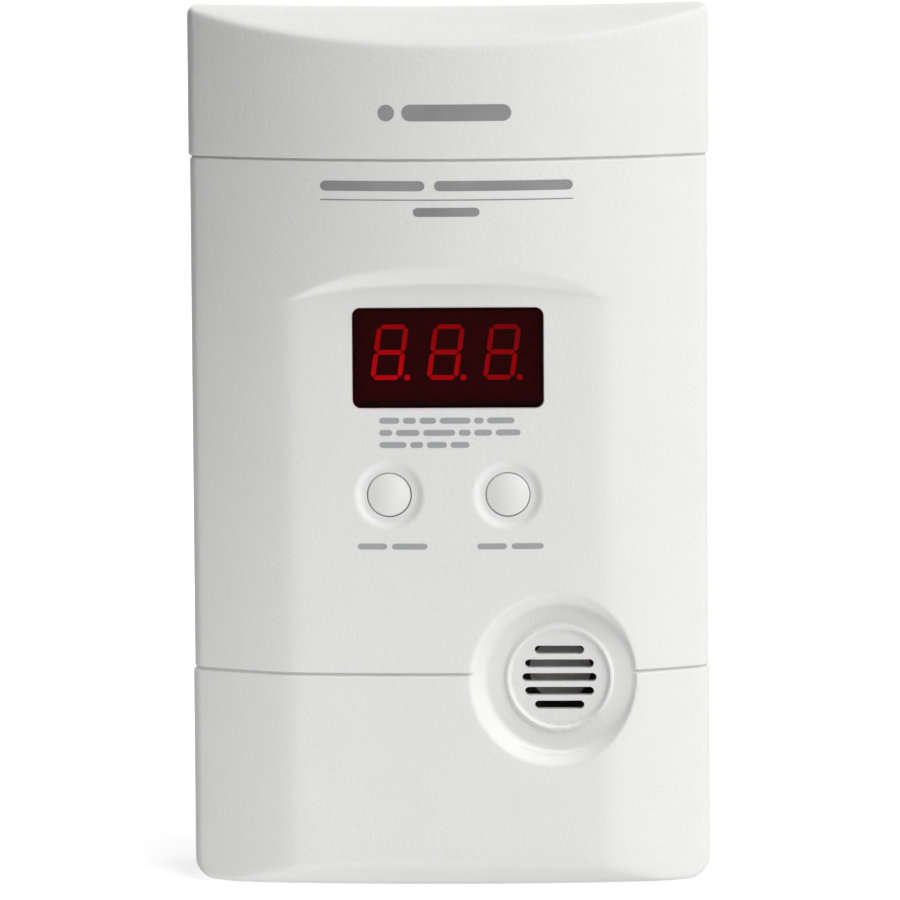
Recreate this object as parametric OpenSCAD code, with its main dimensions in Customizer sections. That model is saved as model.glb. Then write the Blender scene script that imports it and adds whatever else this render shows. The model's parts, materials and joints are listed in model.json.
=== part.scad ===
// Plug-in carbon monoxide detector with a three-digit display and a 9 V back-up battery.
// It stands on z = 0 and its front faces -Y. Depths (d) are measured back from the crest of the
// front cover, so at(d) is the Y of a point at that depth.

/* [Body] */
// Width of the front cover
body_w = 88; // [87.5:0.5:90]
// Height of the detector
body_h = 150; // [149.5:0.5:152]
// Depth from the crest of the front cover to the wall face
body_d = 38; // [38:0.5:42]
// Depth of the seam between the two covers
seam_d = 24; // [24:0.5:25]
// Wall thickness of the covers
wall = 2.2; // [2:0.1:2.4]
// How far the rear cover stands in from the front cover at the sides and top
rear_inset = 2; // [1.9:0.1:2.1]

/* [Front] */
// Radius of the bowed front
crest_r = 81; // [80:1:90]
// Depth of the flatter centre panel at its middle
panel_d = 3; // [2.8:0.1:3.2]
// Radius of the flatter centre panel
panel_r = 240; // [220:10:300]
// Height of the foot of the sloping brow above the panel
brow_z = 102.7; // [102:0.1:104]
// Rise of the brow for each millimetre it comes forward
brow_slope = 1.4; // [1.2:0.1:1.6]
// Height of the upper groove
upper_groove_z = 124.3; // [123:0.1:126]
// Height of the lower groove
lower_groove_z = 37; // [35:0.1:38]
// Width of each groove
groove_w = 0.8; // [0.6:0.1:1]
// Depth of each groove
groove_d = 0.6; // [0.4:0.1:0.8]

/* [Display] */
// Width of the display window
window_w = 32.2; // [31:0.1:33]
// Height of the display window
window_h = 17; // [16.6:0.1:17.4]
// Height of the middle of the window
window_z = 90.8; // [90.2:0.1:91]
// Height of one digit
digit_h = 9.4; // [9:0.1:9.9]
// Distance between digits
digit_pitch = 9.5; // [9.4:0.1:9.7]

/* [Buttons] */
// Radius of the hole for each button
button_hole_r = 3.8; // [3.7:0.05:3.9]
// Distance of each button from the middle
button_x = 10; // [9.5:0.1:10.5]
// Height of the buttons
button_z = 67.6; // [67:0.1:68]
// Travel of each button
button_travel = 0.8; // [0.5:0.1:0.9]

/* [Sounder] */
// Position of the round sounder recess across the front
sounder_x = 18.5; // [18:0.1:19]
// Height of the sounder recess
sounder_z = 36; // [35.5:0.1:36.5]
// Radius of the floor of the recess
recess_r = 12.7; // [12.5:0.1:13]
// Depth of the floor of the recess
recess_d = 7; // [6.5:0.1:7.2]

/* [Plug] */
// Length of the plug blades beyond the wall face
blade_out = 17; // [15.9:0.1:18.3]
// Distance between the blades' centres
blade_pitch = 12.7; // [12.7:0.1:12.7]
// Width and height of the plug-in adapter
adapter_w = 50; // [49:0.5:50]
// Height of the blades above the base
plug_z = 95.2; // [95:0.1:96]

/* [Hidden] */

$fn = 64;
big_fn = 256;
eps = 0.01;
fit = 0.1;

crest_y = -(body_d + blade_out) / 2;
function at(d) = crest_y + d;

side_x = body_w / 2;
shoulder_d = crest_r - sqrt(crest_r * crest_r - side_x * side_x);

// Bevels above and below the front: where each meets the front, and its rise for each mm back
top_bevel_z = 143.7;
top_bevel_k = 0.44;
base_bevel_d = 9;
base_bevel_k = 0.8;
top_corner_r = 1.8;
base_corner_r = 3.6;
// Draft of the side walls and of the top, in degrees
draft_side = 3;
draft_top = 5.2;
// Distance of the hollow from the top and the base, behind the bevels
bevel_wall = 5.5;

// Rear cover
rear_x = side_x - rear_inset;
rear_top = body_h - rear_inset;
lip_d = 2.5;
lip_gap = 0.15;
screw_x = 37.5;
screw_z = [6.2, 139];
screw_seat_d = seam_d + 1;
screw_r = 1.5;
screw_head_r = 2.6;
screw_grip = 0.02;
boss_r = 3.3;
tube_r = 3.9;
label_x = 20;
label_z = [125, 143];
label_pocket = 0.25;
keyhole_x = 33;
keyhole_z = 108;
keyhole_r = 4;
keyhole_slot_r = 2.2;
keyhole_rise = 7;

// Electronics
board_d = 14.8;
board_t = 1.6;
pin_pitch = 2.54;
board_x = 30;
board_z = [50.3, 134];
board_back_d = board_d + board_t;
board_screw_x = 26;
board_screw_z = [73, 130];
board_screw_r = 1;
board_post_r = 3;
display_face_d = 7.4;
display_w = 30.6;
display_box_h = 15.2;
digit_w = 5.3;
digit_lean = 8;
digit_shift = -0.4;
digit_rise = 0.7;
segment_t = 0.8;
segment_ds = [display_face_d, display_face_d + 0.6];
window_corner_r = 1.4;
lens_d = 3.9;
lens_back_d = 6;
sensor_at = [18, 59.2];
sensor_r = 9;
sensor_top_d = 32;

// Buttons: the dish round each, the guide behind it, and the switch that it presses
dish_r = [7.7, 4.5];
dish_ds = [panel_d - 1.2, panel_d + 1.4];
guide_r = 5.6;
flange_d = 9.3;
cap_d = panel_d + 0.35;
switch_h = 3.5;
plunger_r = 1.75;
plunger_out = button_travel + 0.1;

// Sounder
horn_d = 15.5;
horn_r = 12.6;
horn_t = 8.5;
horn_port_r = 5.2;
disc_ds = [horn_d + 1.4, horn_d + 2.4];
slot_w = 1.45;
slot_pitch = 2.35;
grille_r = 6.3;
grille_rim_r = 9.2;
recess_wall_w = 2.3;
floor_t = 1.8;

// Battery compartment
battery_x = [-30, -3.5];
battery_zs = [12, 58.4];
battery_ds = [18.7, 36.2];
battery_mid = [(battery_x[0] + battery_x[1]) / 2, (battery_ds[0] + battery_ds[1]) / 2];
snap_x = 6.35;
snap_h = 2.1;
strip_w = 5;
strip_t = 0.4;
cell_gap = 0.3;
rib = 1.5;
door_x = [-34.8, -2.2];
door_z = [11, 66.8];
door_t = 1.6;
hinge_x = -33.2;
hinge_d = 36.6;
hinge_r = 1.4;
hinge_pin_r = 1;
hinge_gap = 0.06;
hinge_block = 2.3;

// Plug-in adapter
dock_d = 20;
dock_gap = 0.2;
dock_x = adapter_w / 2 + dock_gap;
dock_z = [plug_z - dock_x, plug_z + dock_x];
adapter_wall = 1.8;
adapter_z = [plug_z - adapter_w / 2, plug_z + adapter_w / 2];
adapter_corner_r = 2;
adapter_pin = [3, 75];
adapter_pin_r = 0.75;
blade_t = 1.5;
blade_h = 6.35;
blade_root = 7;
core_z = plug_z + 4;
core_ds = [24, 29.5];
coil_ds = [22.3, 30.6];
coil_h = 16.4;

WHITE = [0.93, 0.93, 0.92];
INNER_WHITE = [0.86, 0.86, 0.85];
RED = [0.35, 0.02, 0.04];
BLACK = [0.1, 0.1, 0.1];
CREAM = [0.9, 0.88, 0.8];

// ---------- shared shapes ----------

// A block given by its limits in x, depth and z
module block(x, d, z) {
  translate([x[0], at(d[0]), z[0]]) cube([x[1] - x[0], d[1] - d[0], z[1] - z[0]]);
}

// A rod along the depth axis
module rod(x, z, d, r) {
  translate([x, at(d[0]), z]) rotate([-90, 0, 0]) cylinder(r = r, h = d[1] - d[0]);
}

// A cone along the depth axis
module taper(x, z, d, r) {
  translate([x, at(d[0]), z]) rotate([-90, 0, 0]) cylinder(r1 = r[0], r2 = r[1], h = d[1] - d[0]);
}

// An outline drawn in x and z, run from one depth to another
module plate(d) {
  translate([0, at(d[1]), 0]) rotate([90, 0, 0]) linear_extrude(height = d[1] - d[0]) children();
}

// A rectangle with its own corner radius below and above, built from true arcs
module rounded(x, z, low_r, high_r) {
  translate([x[0] + low_r, z[0]]) square([x[1] - x[0] - 2 * low_r, z[1] - z[0] - high_r]);
  translate([x[0], z[0] + low_r]) square([x[1] - x[0], z[1] - z[0] - low_r - high_r]);
  translate([x[0] + high_r, z[0] + low_r])
    square([x[1] - x[0] - 2 * high_r, z[1] - z[0] - low_r]);
  for (sx = [x[0] + low_r, x[1] - low_r]) translate([sx, z[0] + low_r]) circle(r = low_r);
  for (sx = [x[0] + high_r, x[1] - high_r]) translate([sx, z[1] - high_r]) circle(r = high_r);
}

// A round wire through a list of points, with square corners
module wire(points, r) {
  last = len(points) - 2;
  for (i = [0 : last]) {
    v = points[i + 1] - points[i];
    over = i < last ? r * 0.9 : 0;
    translate(points[i])
      rotate([0, acos(v[2] / norm(v)), atan2(v[1], v[0])])
        cylinder(r = r, h = norm(v) + over, $fn = 24);
  }
}

// A pan-head screw that drives forwards from the depth of its head's seat
module screw(x, z, seat_d, length, r, head_r) {
  difference() {
    union() {
      rod(x, z, [seat_d - length, seat_d + eps], r);
      rod(x, z, [seat_d, seat_d + head_r * 0.75], head_r);
    }
    for (a = [0, 90])
      translate([x, at(seat_d + head_r * 0.4), z]) rotate([0, a, 0])
        translate([-head_r * 0.65, 0, -head_r * 0.11]) cube([head_r * 1.3, head_r, head_r * 0.22]);
  }
}

// ---------- front cover ----------

// The bowed front as an upright cylinder, inset by t
module crest_form(t) {
  translate([0, at(crest_r), -1]) cylinder(r = crest_r - t, h = body_h + 2, $fn = big_fn);
}

// The flatter centre panel, and everything above the brow, inset by t
module panel_form(t) {
  translate([0, at(panel_d + panel_r), -1]) cylinder(r = panel_r - t, h = body_h + 2, $fn = big_fn);
  translate([0, at(panel_d + t), brow_z + t]) rotate([90 - atan(brow_slope), 0, 0])
    translate([-body_w, 0, -body_h]) cube([2 * body_w, 2 * body_h, 2 * body_h]);
}

// What the sloping planes above and below the front cut away
module bevel_cuts() {
  translate([-body_w, at(0), top_bevel_z]) rotate([atan(top_bevel_k), 0, 0])
    translate([0, -body_d, 0]) cube([2 * body_w, 3 * body_d, body_d]);
  translate([-body_w, at(base_bevel_d), 0]) rotate([-atan(base_bevel_k), 0, 0])
    translate([0, -2 * body_d, -body_d]) cube([2 * body_w, 3 * body_d, body_d]);
}

// What the draft takes off the side walls and the top towards the back
module draft_cuts() {
  for (s = [0, 1]) mirror([s, 0, 0])
    translate([side_x, at(shoulder_d + 1), -1]) rotate([0, 0, draft_side])
      cube([20, 60, body_h + 2]);
  translate([-body_w, at(shoulder_d + 1), body_h]) rotate([-draft_top, 0, 0])
    cube([2 * body_w, 60, 20]);
}

// The outer form of the front cover
module front_outer() {
  difference() {
    intersection() {
      plate([-1, seam_d]) rounded([-side_x, side_x], [0, body_h], base_corner_r, top_corner_r);
      crest_form(0);
      panel_form(0);
    }
    bevel_cuts();
    draft_cuts();
  }
}

// The hollow inside it
module front_inner() {
  intersection() {
    block([-side_x + wall, side_x - wall], [0, seam_d + 1], [bevel_wall, body_h - bevel_wall]);
    crest_form(wall);
    panel_form(wall);
  }
}

// A groove that follows the front at height z, between two limits in x
module groove(x, z) {
  difference() {
    block(x, [-2, seam_d + 1], [z - groove_w / 2, z + groove_w / 2]);
    intersection() {
      crest_form(groove_d);
      panel_form(groove_d);
      block([-side_x + groove_d, side_x - groove_d], [-3, seam_d + 2], [0, body_h]);
    }
  }
}

// The lower groove stops on each side of the sounder recess
module groove_cuts() {
  groove([-body_w, body_w], upper_groove_z);
  groove([-body_w, sounder_x - recess_r - 3.3], lower_groove_z);
  groove([sounder_x + recess_r + 1.5, body_w], lower_groove_z);
}

// Bosses and posts on the inside of the front cover
module front_posts() {
  for (s = [-1, 1], z = screw_z)
    rod(s * screw_x, z, [-1, seam_d - lip_d - fit], boss_r);
  for (s = [-1, 1], z = board_screw_z)
    rod(s * board_screw_x, z, [-1, board_d - fit / 2], board_post_r);
  for (s = [-1, 1])
    rod(s * button_x, button_z, [-1, flange_d - fit], guide_r);
  rod(sounder_x, sounder_z, [-1, recess_d + floor_t], recess_r + recess_wall_w + 0.6);
  rod(sounder_x, sounder_z, [-1, horn_d + 3], horn_r + 1.2);
}

// The round recess in the front, with the sound slots through its floor
module sounder_cut() {
  reach = 6;
  widening = recess_wall_w / (recess_d - panel_d);
  taper(sounder_x, sounder_z, [recess_d - reach, recess_d],
        [recess_r + reach * widening, recess_r]);
  rod(sounder_x, sounder_z, [recess_d + floor_t, horn_d + 4], horn_r + fit);
  for (i = [-2 : 2]) {
    z = sounder_z + i * slot_pitch;
    half = sqrt(grille_r * grille_r - pow(i * slot_pitch, 2)) - slot_w / 2;
    plate([recess_d - 1, recess_d + 3]) union() {
      translate([sounder_x - half, z - slot_w / 2]) square([2 * half, slot_w]);
      for (s = [-1, 1]) translate([sounder_x + s * half, z]) circle(r = slot_w / 2);
    }
  }
}

// The raised ring around the sound slots
module grille_rim() {
  difference() {
    rod(sounder_x, sounder_z, [recess_d - 0.6, recess_d + 0.5], grille_rim_r);
    rod(sounder_x, sounder_z, [recess_d - 1, recess_d + 1], grille_rim_r - 0.9);
  }
}

// The shell with its bosses, before anything is cut through it
module front_shell() {
  intersection() {
    front_outer();
    union() {
      difference() {
        block([-body_w, body_w], [-2, seam_d + 2], [-2, body_h + 2]);
        front_inner();
        block([-side_x + wall, side_x - wall], [seam_d - lip_d - 0.4, seam_d + 3],
              [wall, body_h - wall]);
      }
      front_posts();
    }
  }
}

// The shell with its sounder recess
module front_form() {
  difference() {
    front_shell();
    sounder_cut();
  }
  grille_rim();
}

// The hole and the dish for each button
module button_cuts() {
  for (s = [-1, 1]) {
    rod(s * button_x, button_z, [0, board_d], button_hole_r);
    taper(s * button_x, button_z, dish_ds, dish_r);
  }
}

// Pilot holes for the board's screws and the housing screws
module pilot_cuts() {
  for (s = [-1, 1], z = board_screw_z)
    rod(s * board_screw_x, z, [board_d - 6, board_d + 1], board_screw_r + screw_grip);
  for (s = [-1, 1], z = screw_z)
    rod(s * screw_x, z, [screw_seat_d - 13, seam_d + 1], screw_r + screw_grip);
}

// The window's outline, inset by t
module window_outline(t) {
  r = window_corner_r - t;
  x = window_w / 2 - t;
  z = window_h / 2 - t;
  rounded([-x, x], [window_z - z, window_z + z], r, r);
}

// The opening for the display window
module window_cut() {
  plate([-1, board_d]) window_outline(0);
}

module front_cover() {
  color(WHITE) difference() {
    front_form();
    groove_cuts();
    window_cut();
    button_cuts();
    pilot_cuts();
  }
}

// The tinted lens, with a flange that bears on the inside of the cover
module display_window() {
  flange_x = window_w / 2 + 2;
  flange_z = window_h / 2 + 1.8;
  color(RED) {
    plate([lens_d, lens_back_d]) window_outline(fit);
    block([-flange_x, flange_x], [lens_back_d, lens_back_d + 1],
          [window_z - flange_z, window_z + flange_z]);
  }
}

// ---------- buttons and switches ----------

// A domed cap on a stem, kept in its guide by a flange, turned as one outline
module push_button(x) {
  cap_r = button_hole_r - fit;
  dome_r = 11;
  steps = 8;
  flange_r = 4.9;
  flange_z = [cap_d - flange_d, cap_d - flange_d - 0.7];
  stem_r = 2.4;
  stem_z = cap_d - (board_d - switch_h - plunger_out);
  dome = [for (i = [0 : steps]) let (r = cap_r * i / steps)
    [r, sqrt(dome_r * dome_r - r * r) - dome_r]];
  stem = [[cap_r, flange_z[0]], [flange_r, flange_z[0]], [flange_r, flange_z[1]],
          [stem_r, flange_z[1]], [stem_r, stem_z], [0, stem_z]];
  color(WHITE) translate([x, at(cap_d), button_z]) rotate([90, 0, 0])
    rotate_extrude() polygon(concat(dome, stem));
}

module test_button() push_button(-button_x);
module peak_button() push_button(button_x);

// The moving stem of a tactile switch
module switch_plunger(x) {
  top_d = board_d - switch_h;
  color(BLACK) rod(x, button_z, [top_d - plunger_out + eps, top_d + 1], plunger_r);
}

module test_plunger() switch_plunger(-button_x);
module peak_plunger() switch_plunger(button_x);

// The fixed body of a tactile switch with its four legs
module tact_switch(x) {
  half = 3;
  leg_w = 0.6;
  leg_h = 0.7;
  leg_z = 2.2;
  color([0.2, 0.2, 0.21]) difference() {
    block([x - half, x + half], [board_d - switch_h, board_d - fit],
          [button_z - half, button_z + half]);
    rod(x, button_z, [board_d - switch_h - 1, board_d - 0.5], plunger_r + 0.06);
  }
  color("silver") for (sx = [-1, 1], sz = [-1, 1])
    translate([x + sx * (half + leg_w / 2), at(board_d - 1.2), button_z + sz * leg_z])
      translate([-leg_w / 2, 0, -leg_h / 2]) cube([leg_w, 1.2, leg_h]);
}

module test_switch() tact_switch(-button_x);
module peak_switch() tact_switch(button_x);

// ---------- main board ----------

module main_board() {
  color([0.05, 0.32, 0.16]) difference() {
    block([-board_x, board_x], [board_d, board_back_d], board_z);
    for (s = [-1, 1], z = board_screw_z)
      rod(s * board_screw_x, z, [board_d - 1, board_back_d + 1], board_screw_r + 0.2);
  }
}

module board_screws() {
  color("silver") for (s = [-1, 1], z = board_screw_z)
    screw(s * board_screw_x, z, board_back_d + screw_grip, 6.5, board_screw_r, 1.9);
}

// One straight segment of a digit, pointed at both ends
module segment(length) {
  t = segment_t / 2;
  polygon([[-length / 2, 0], [-length / 2 + t, t], [length / 2 - t, t],
           [length / 2, 0], [length / 2 - t, -t], [-length / 2 + t, -t]]);
}

// The seven segments and the point of one leaning digit
module digit() {
  w = digit_w - segment_t;
  h = digit_h - segment_t;
  gap = 0.25;
  lean = tan(digit_lean);
  multmatrix([[1, lean, 0, 0], [0, 1, 0, 0], [0, 0, 1, 0], [0, 0, 0, 1]]) {
    for (y = [-h / 2, 0, h / 2]) translate([0, y]) segment(w - gap);
    for (x = [-w / 2, w / 2], y = [-h / 4, h / 4])
      translate([x, y]) rotate([0, 0, 90]) segment(h / 2 - gap);
  }
  translate([digit_w / 2 + 0.3, -h / 2]) circle(r = 0.5);
}

// All three digits, at their places in the display
module digits() {
  for (i = [-1 : 1])
    translate([i * digit_pitch + digit_shift, window_z + digit_rise]) digit();
}

module display_segments() {
  color([0.9, 0.1, 0.12]) plate(segment_ds) digits();
}

module display_module() {
  color(BLACK) difference() {
    block([-display_w / 2, display_w / 2], [display_face_d, board_d - 0.3],
          [window_z - display_box_h / 2, window_z + display_box_h / 2]);
    plate([display_face_d - 1, segment_ds[1]]) digits();
  }
}

module display_pins() {
  half = 0.25;
  color("silver") for (i = [-2.5 : 2.5], s = [-1, 1])
    block([i * pin_pitch - half, i * pin_pitch + half], [board_d - 0.3, board_d],
          [window_z + s * 5 - half, window_z + s * 5 + half]);
}

// A 28-pin chip: two rows of legs on a long body
module controller_chip() {
  chip_z = 114;
  half_h = 3.75;
  color(BLACK) block([-9, 9], [board_d - 2.6, board_d - 0.25], [chip_z - half_h, chip_z + half_h]);
  color("silver") for (i = [-6.5 : 6.5], s = [-1, 1])
    translate([i * pin_pitch / 2, at(board_d - 0.5), chip_z + s * (half_h + 0.65)])
      cube([0.4, 1, 1.3], center = true);
}

module capacitors() {
  color([0.12, 0.14, 0.3]) for (p = [[-19, 110, 4], [19, 110, 4], [18, 122, 3.2]])
    rod(p[0], p[1], [board_d - 8, board_d], p[2]);
}

// A column of small parts down each side, and a row of larger ones below the chip
module small_components() {
  color([0.25, 0.22, 0.2]) {
    for (s = [-1, 1], i = [0 : 5])
      translate([s * 21.55, at(board_d - 0.35), 62.7 + i * 6]) cube([2.5, 0.7, 1.4], center = true);
    for (x = [-14, -8, 8, 14])
      translate([x, at(board_d - 0.55), 103.3]) cube([3, 1.1, 2.6], center = true);
  }
}

module co_sensor_can() {
  color([0.72, 0.72, 0.7])
    rod(sensor_at[0], sensor_at[1], [board_back_d + 1, sensor_top_d - 2], sensor_r);
}

module co_sensor_cap() {
  color(BLACK) difference() {
    rod(sensor_at[0], sensor_at[1], [sensor_top_d - 2, sensor_top_d], sensor_r - 0.6);
    rod(sensor_at[0], sensor_at[1], [sensor_top_d - 1, sensor_top_d + 1], 3);
  }
}

module co_sensor_pins() {
  ring_r = 5.5;
  color("gold") for (a = [90, 210, 330])
    rod(sensor_at[0] + ring_r * cos(a), sensor_at[1] + ring_r * sin(a),
        [board_back_d, board_back_d + 1], 0.5);
}

// The socket on the back of the board that takes the adapter's pins
module power_socket() {
  half_h = 2.6;
  color(CREAM) difference() {
    block([-6.5, 6.5], [board_back_d, dock_d - 0.3], [adapter_pin[1] - half_h, adapter_pin[1] + half_h]);
    for (s = [-1, 1])
      rod(s * adapter_pin[0], adapter_pin[1], [board_back_d + 0.4, dock_d + 1], adapter_pin_r + fit);
  }
}

// ---------- sounder ----------

// A cup that is open at the back, with a port in its face
module horn_housing() {
  color([0.07, 0.06, 0.06]) difference() {
    rod(sounder_x, sounder_z, [horn_d, horn_d + horn_t], horn_r);
    rod(sounder_x, sounder_z, [disc_ds[0], horn_d + horn_t + 0.5], horn_r - 1.6);
    rod(sounder_x, sounder_z, [horn_d - 1, horn_d + 2], horn_port_r);
    rod(sounder_x, sounder_z, [horn_d - 1, horn_d + 0.5], horn_port_r + 1.8);
  }
}

// The metal disc that sounds, with the ceramic bonded in its hollow back
module horn_disc() {
  color([0.66, 0.64, 0.6]) difference() {
    rod(sounder_x, sounder_z, disc_ds, horn_r - 1.7);
    rod(sounder_x, sounder_z, [disc_ds[0] + 0.3, disc_ds[1] + 0.6], horn_r - 2.6);
  }
}

module horn_ceramic() {
  color(CREAM) rod(sounder_x, sounder_z, [disc_ds[0] + 0.3, disc_ds[0] + 0.7], 7);
}

// Two leads from the disc, round the edge of the housing to the board
module horn_leads() {
  back_d = horn_d + horn_t + 1.5;
  start_z = sounder_z + 3;
  end_z = 53;
  color([0.7, 0.08, 0.08]) for (s = [-1, 1]) {
    start_x = sounder_x + 3 + s * 1.2;
    end_x = 28.2 + s * 0.9;
    wire([[start_x, at(disc_ds[1]), start_z],
          [start_x, at(back_d), start_z],
          [end_x, at(back_d), end_z],
          [end_x, at(board_back_d), end_z]], 0.5);
  }
}

// ---------- battery ----------

module battery_case() {
  color([0.13, 0.13, 0.14]) block(battery_x, battery_ds, battery_zs);
}

// The two snap terminals on top of the battery
module battery_terminals() {
  cup_r = 4.2;
  cup_wall = 1.2;
  color("silver") translate([battery_mid[0], at(battery_mid[1]), battery_zs[1]]) {
    translate([-snap_x, 0, 0]) cylinder(r = 2.9, h = snap_h);
    translate([snap_x, 0, 0]) difference() {
      cylinder(r = cup_r, h = snap_h);
      translate([0, 0, 0.6]) cylinder(r = cup_r - cup_wall, h = snap_h);
    }
  }
}

// Sprung strips that press on the terminals and run forward to the board
module battery_contacts() {
  top = battery_zs[1] + snap_h;
  back = battery_mid[1] + 4;
  color([0.8, 0.7, 0.4]) for (s = [-1, 1]) {
    mid = battery_mid[0] + s * snap_x;
    x = [mid - strip_w / 2, mid + strip_w / 2];
    block(x, [board_back_d, back], [top + 1.2, top + 1.2 + strip_t]);
    block(x, [back - strip_t, back], [top, top + 1.3]);
    block(x, [battery_mid[1] - 3, back], [top, top + strip_t]);
  }
}

// The door swings on two stub pins at its left edge, with ribs inside and finger grooves outside
module battery_door() {
  gap = 0.25;
  z = [door_z[0] + gap, door_z[1] - gap];
  pin_out = 1.6;
  rib_x = battery_x[1] - 6;
  inside_d = body_d - door_t;
  color(WHITE) difference() {
    union() {
      block([hinge_x, door_x[1] - gap], [inside_d, body_d], z);
      translate([hinge_x, at(hinge_d), z[0]]) cylinder(r = hinge_r, h = z[1] - z[0]);
      translate([hinge_x, at(hinge_d), z[0] - pin_out])
        cylinder(r = hinge_pin_r, h = z[1] - z[0] + 2 * pin_out);
      for (i = [0 : 4])
        block([rib_x, rib_x + 0.8], [inside_d - 0.1, inside_d + 0.2], [20 + i * 9, 24 + i * 9]);
    }
    for (i = [0 : 3])
      translate([door_x[1] - 5.4 + i * 1.2, at(body_d - 0.4), 33]) cube([0.6, 1, 12]);
  }
}

// ---------- rear cover ----------

// The outer form of the rear cover, flush at the base
module rear_outer() {
  plate([seam_d, body_d]) rounded([-rear_x, rear_x], [0, rear_top], base_corner_r, base_corner_r);
}

// The lip that locates inside the front cover
module rear_lip() {
  x = side_x - wall - lip_gap;
  z = [wall + lip_gap, body_h - wall - lip_gap];
  difference() {
    block([-x, x], [seam_d - lip_d, seam_d + eps], z);
    block([-rear_x + wall, rear_x - wall], [seam_d - lip_d - 1, seam_d + 1],
          [z[0] + wall - lip_gap, rear_top - wall]);
  }
  block([-rear_x + wall, rear_x - wall], [seam_d, seam_d + 2], [wall - eps, z[0] + wall - lip_gap]);
}

// Walls inside the rear cover: dock, battery compartment and screw tubes
module rear_walls() {
  block([-dock_x - rib, dock_x + rib], [dock_d - rib, body_d], [dock_z[0] - rib, dock_z[1] + rib]);
  block([battery_x[0] - cell_gap - rib, battery_x[1] + cell_gap + rib],
        [battery_ds[0] - cell_gap - rib, body_d - door_t - 0.1], [door_z[0] - 0.8, door_z[1] + 0.4]);
  for (s = [-1, 1], z = screw_z)
    rod(s * screw_x, z, [seam_d - lip_d, body_d], tube_r);
  for (z = [[door_z[0] - hinge_block, door_z[0]], [door_z[1], door_z[1] + hinge_block]])
    block([door_x[0], hinge_x + 2.2], [hinge_d - 2, body_d], z);
}

// The dock that takes the plug-in adapter
module dock_cut() {
  block([-dock_x, dock_x], [dock_d, body_d + 1], dock_z);
  block([-7, 7], [dock_d - rib - 1, dock_d + 1], [adapter_pin[1] - 3, adapter_pin[1] + 3]);
}

// The battery compartment, its door opening and the holes for the hinge pins
module battery_cut() {
  block([battery_x[0] - cell_gap, battery_x[1] + cell_gap], [battery_ds[0] - cell_gap, body_d + 1],
        [battery_zs[0] - cell_gap, door_z[1] - 1.2]);
  block(door_x, [body_d - wall - 0.1, body_d + 1], door_z);
  translate([hinge_x, at(hinge_d), door_z[0] - 1.8])
    cylinder(r = hinge_pin_r + hinge_gap, h = door_z[1] - door_z[0] + 3.6);
  for (s = [-1, 1])
    translate([battery_mid[0] + s * snap_x - 3, at(seam_d - 9), battery_zs[1] + 2.8])
      cube([6, battery_ds[0] - seam_d + 9, 1.4]);
}

// Two keyholes for hanging on wall screws
module keyholes() {
  for (s = [-1, 1]) {
    rod(s * keyhole_x, keyhole_z, [body_d - wall - 1, body_d + 1], keyhole_r);
    plate([body_d - wall - 1, body_d + 1]) translate([s * keyhole_x, keyhole_z]) {
      translate([-keyhole_slot_r, 0]) square([2 * keyhole_slot_r, keyhole_rise]);
      translate([0, keyhole_rise]) circle(r = keyhole_slot_r);
    }
  }
}

// Slots that let air reach the sensor, in the back and in both sides
module vents() {
  for (i = [0 : 6])
    block([8, 29], [body_d - wall - 1, body_d + 1], [49 + i * 3, 50.4 + i * 3]);
  for (s = [0, 1], i = [0 : 7]) mirror([s, 0, 0])
    block([rear_x - wall - 1, rear_x + 1], [seam_d + 3, body_d - 4], [44 + i * 4, 45.8 + i * 4]);
}

module rear_cover() {
  color(INNER_WHITE) difference() {
    union() {
      difference() {
        rear_outer();
        block([-rear_x + wall, rear_x - wall], [seam_d - 1, body_d - wall], [wall, rear_top - wall]);
      }
      rear_lip();
      rear_walls();
    }
    dock_cut();
    battery_cut();
    keyholes();
    vents();
    for (s = [-1, 1], z = screw_z) {
      rod(s * screw_x, z, [seam_d - lip_d - 1, body_d], screw_r + 0.2);
      rod(s * screw_x, z, [screw_seat_d, body_d + 1], screw_head_r + 0.4);
    }
    block([-label_x, label_x], [body_d - label_pocket, body_d + 1], label_z);
  }
}

module housing_screws() {
  color("silver") for (s = [-1, 1], z = screw_z)
    screw(s * screw_x, z, screw_seat_d + screw_grip, 12, screw_r, screw_head_r);
}

module rating_label() {
  margin = 0.2;
  color([0.8, 0.81, 0.82])
    block([-label_x + margin, label_x - margin], [body_d - label_pocket, body_d - fit],
          [label_z[0] + margin, label_z[1] - margin]);
}

// ---------- plug-in adapter ----------

// The adapter's outline, as seen from behind
module adapter_outline() {
  rounded([-adapter_w / 2, adapter_w / 2], adapter_z, adapter_corner_r, adapter_corner_r);
}

module adapter_shell() {
  front_d = dock_d + dock_gap;
  inside = adapter_w / 2 - adapter_wall;
  color(WHITE) difference() {
    plate([front_d, body_d - adapter_wall]) adapter_outline();
    block([-inside, inside], [front_d + adapter_wall, body_d], [plug_z - inside, plug_z + inside]);
    for (s = [-1, 1])
      rod(s * adapter_pin[0], adapter_pin[1], [dock_d - 1, dock_d + 4], adapter_pin_r + screw_grip);
  }
}

// The adapter's back plate, with a slot for each blade and two finger grips
module adapter_plate() {
  slot = [blade_t / 2 + 0.02, blade_h / 2 + 0.02];
  grip_x = 19;
  color(WHITE) difference() {
    plate([body_d - adapter_wall, body_d]) adapter_outline();
    for (x = [-blade_pitch / 2, blade_pitch / 2])
      block([x - slot[0], x + slot[0]], [body_d - 3, body_d + 1], [plug_z - slot[1], plug_z + slot[1]]);
    for (x = [-grip_x, grip_x])
      plate([body_d - 0.8, body_d + 1]) rounded([x - 2.5, x + 2.5], [plug_z - 9, plug_z + 9], 1.5, 1.5);
  }
}

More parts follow.
